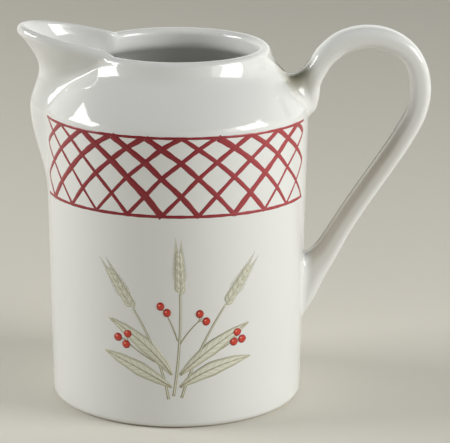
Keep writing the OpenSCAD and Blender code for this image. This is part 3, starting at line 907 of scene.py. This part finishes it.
# The part of a grain's points that its middle line runs over
grain_middle = slice(4, -3)
awn_long, awn_bend = 0.055, 0.030
leaves = np.array([
    [[-0.03, 0.08], [-0.22, 0.20], [-0.44, 0.28]],
    [[0.02, 0.08], [0.20, 0.22], [0.45, 0.24]],
    [[-0.03, 0.16], [-0.16, 0.36], [-0.42, 0.50]],
    [[0.02, 0.16], [0.20, 0.34], [0.44, 0.46]],
])
leaf_wide, leaf_edge = 0.082, 0.0075
leaf_swell = np.array([[0, 0.12], [0.2, 0.6], [0.5, 1], [0.8, 0.62], [1, 0.04]])
# A vein leaves the rib at every second point and runs ahead and out to the leaf's edge
vein_skip, vein_last = 2, 18
vein_out, vein_on = 0.40, 1.15
# Each stalk of berries: its bow, then its berries
berries = [
    ([[-0.13, 0.24], [-0.25, 0.30], [-0.325, 0.38]], [[-0.36, 0.38], [-0.31, 0.34], [-0.30, 0.41]]),
    ([[0.14, 0.27], [0.27, 0.29], [0.37, 0.38]], [[0.35, 0.35], [0.40, 0.36], [0.37, 0.41]]),
    ([[0.005, 0.38], [-0.03, 0.50], [-0.08, 0.575]], [[-0.10, 0.60], [-0.06, 0.56]]),
    ([[0.02, 0.36], [0.08, 0.46], [0.16, 0.525]], [[0.14, 0.55], [0.18, 0.50]]),
]
# Where the twigs leave their stalk
twig_at = 0.8
berry_wide, berry_shine = 0.048, 0.012
berry_inner = berry_wide * 0.8
# A round mark stops just short of its two ends
berry_end = 0.995
# Painted lines: width at the foot, and how much less it is at the head
stem_edge, stem_core = (0.019, 0.006), (0.006, 0.002)
awn_line, grain_line = (0.0055, 0.0035), (0.0045, 0)
vein_line, rib_line = (0.0040, 0.0015), (0.011, 0.006)
stalk_line, twig_line = (0.010, 0.003), (0.006, 0)
thinnest_line, thinnest_fill = 0.03 * mm, 0.0005
mark_points, vein_points = 22, 7
# Tones along the colour ramp: three of sage, then three of red
pale, sage, olive, red_light, red_mid, red_deep = 0.0, 0.22, 0.44, 0.62, 0.82, 1.0
# A berry's round marks: width, tone, layer, and how far each is moved up and to the left
berry_marks = [
    (berry_wide, red_deep, 8, 0), (berry_inner, red_mid, 9, 0), (berry_shine, red_light, 10, 0.007),
]
speckle_scale, speckle_share = 1400.0, 0.10
# Marks are painted in layers: stems, awns and stalks in 1 and 2, grains and leaves in 3 to 6,
# the lines on them in 6 and 7, and berries in 8 to 10
strokes = []
tones = []


def bow(c, t):
    """Points on the curve drawn by a foot, a bow and a head, in shares of the spray's height."""
    t = t[:, None]
    return c[0] * (1 - t) ** 2 + c[1] * 2 * t * (1 - t) + c[2] * t**2


def stroke(line, width, tone, layer):
    """Adds one painted mark along a line, with its width at each point, in shares of the
    spray's height. Marks of a higher layer lie on those below."""
    x, z = line[:, 0] * spray_h, spray_foot + line[:, 1] * spray_h
    azimuth = np.arcsin(x / round_outer(z)) - np.pi / 2
    width = np.maximum(width * spray_h, thinnest_line)
    strokes.append(ribbon(azimuth, z, width, layer * layer_h))
    tones.append(np.full(len(strokes[-1][0]), tone))


def blade(line, width, edge, layer):
    """A pointed mark with a darker outline: the outline's shape with a paler one inside it."""
    stroke(line, width + edge, sage, layer)
    inner = slice(1, -1)
    stroke(line[inner], np.maximum(width[inner] - edge, thinnest_fill), pale, layer + 1)


def thinning(line_w, t):
    """A painted line's width along it: its foot's, less an even share of the difference."""
    return line_w[0] - line_w[1] * t


t = np.linspace(0, 1, mark_points)
plump = grain_w * np.sin(np.pi * mix(plump_from, plump_to, t)) ** plump_power
for stem in ears:
    stroke(bow(stem, t), thinning(stem_edge, t), olive, 1)
    stroke(bow(stem, t), thinning(stem_core, t), pale, 2)
    heading = stem[2] - stem[1]
    heading = heading / np.linalg.norm(heading)
    aside = np.array([-heading[1], heading[0]])
    for i in range(grain_pairs):
        for side in (-1, 1):
            turn = side * np.radians(grain_lean - lean_less * i)
            to = heading * np.cos(turn) + aside * np.sin(turn)
            up = grain_first + grain_step * i + grain_stagger * side
            root = stem[2] + heading * up + aside * side * grain_aside
            long = grain_long - long_less * i
            curl = aside * side * (-grain_curl * t**2)[:, None]
            grain = root + to * (long * t)[:, None] + curl
            awn = grain[-1] + to * (awn_long * t)[:, None] + heading * (awn_bend * t**2)[:, None]
            stroke(awn, thinning(awn_line, t), sage, 1)
            blade(grain, plump, grain_edge, 3 + 2 * (i % 2))
            stroke(grain[grain_middle], thinning(grain_line, t[grain_middle]), sage, 7)
ahead = np.linspace(0, 1, vein_points)
for leaf in leaves:
    line = bow(leaf, t)
    width = leaf_wide * np.interp(t, leaf_swell[:, 0], leaf_swell[:, 1])
    blade(line, width, leaf_edge, 4)
    along = np.gradient(line, axis=0)
    along /= np.linalg.norm(along, axis=1, keepdims=True)
    aside = np.column_stack([-along[:, 1], along[:, 0]])
    for side in (-1, 1):
        for k in range(vein_skip, vein_last + 1, vein_skip):
            on = line[k + vein_skip] - line[k]
            out = aside[k] * side * (vein_out * width[k + vein_skip])
            vein = line[k] + on * ahead[:, None] * vein_on + out * ahead[:, None]
            stroke(vein, thinning(vein_line, ahead), sage, 6)
    stroke(line, thinning(rib_line, t), olive, 7)
across = np.linspace(-berry_end, berry_end, mark_points)
for stalk, fruit in berries:
    stalk = np.array(stalk)
    stroke(bow(stalk, t), thinning(stalk_line, t), olive, 1)
    for spot in np.array(fruit):
        twig = np.array([bow(stalk, np.array([twig_at]))[0], (stalk[2] + spot) / 2, spot])
        stroke(bow(twig, t), thinning(twig_line, t), olive, 1)
        for wide, tone, layer, shift in berry_marks:
            round_mark = spot + [-shift, shift] + np.column_stack([across * wide / 2, 0 * across])
            stroke(round_mark, wide * np.sqrt(1 - across**2), tone, layer)

pencil, wire = material("sage_enamel")
tone = wire.node("ShaderNodeAttribute", output=2, attribute_name="tone")
speckle = (wire.noise(wire.place(), speckle_scale, 2.0) - 0.5) * speckle_share
colour = wire.node("ShaderNodeValToRGB", {0: tone + speckle}, stops=[
    (0.0, (0.74, 0.735, 0.62)), (0.22, (0.53, 0.51, 0.37)), (0.48, (0.36, 0.33, 0.215)),
    (0.60, (0.80, 0.30, 0.22)), (0.82, (0.62, 0.045, 0.022)), (1.0, (0.36, 0.022, 0.016)),
])
finish_surface(wire, {"Base Color": colour, "Roughness": enamel_rough})
spray = joined(strokes)
front = add_piece("spray_front", *spray, pencil, "sage_enamel", ["spray_transfer_front"])
back = add_piece("spray_back", *mirrored(*spray), pencil, "sage_enamel", ["spray_transfer_back"])
for piece in (front, back):
    values = piece.data.attributes.new("tone", "FLOAT", "POINT").data
    values.foreach_set("value", np.concatenate(tones))
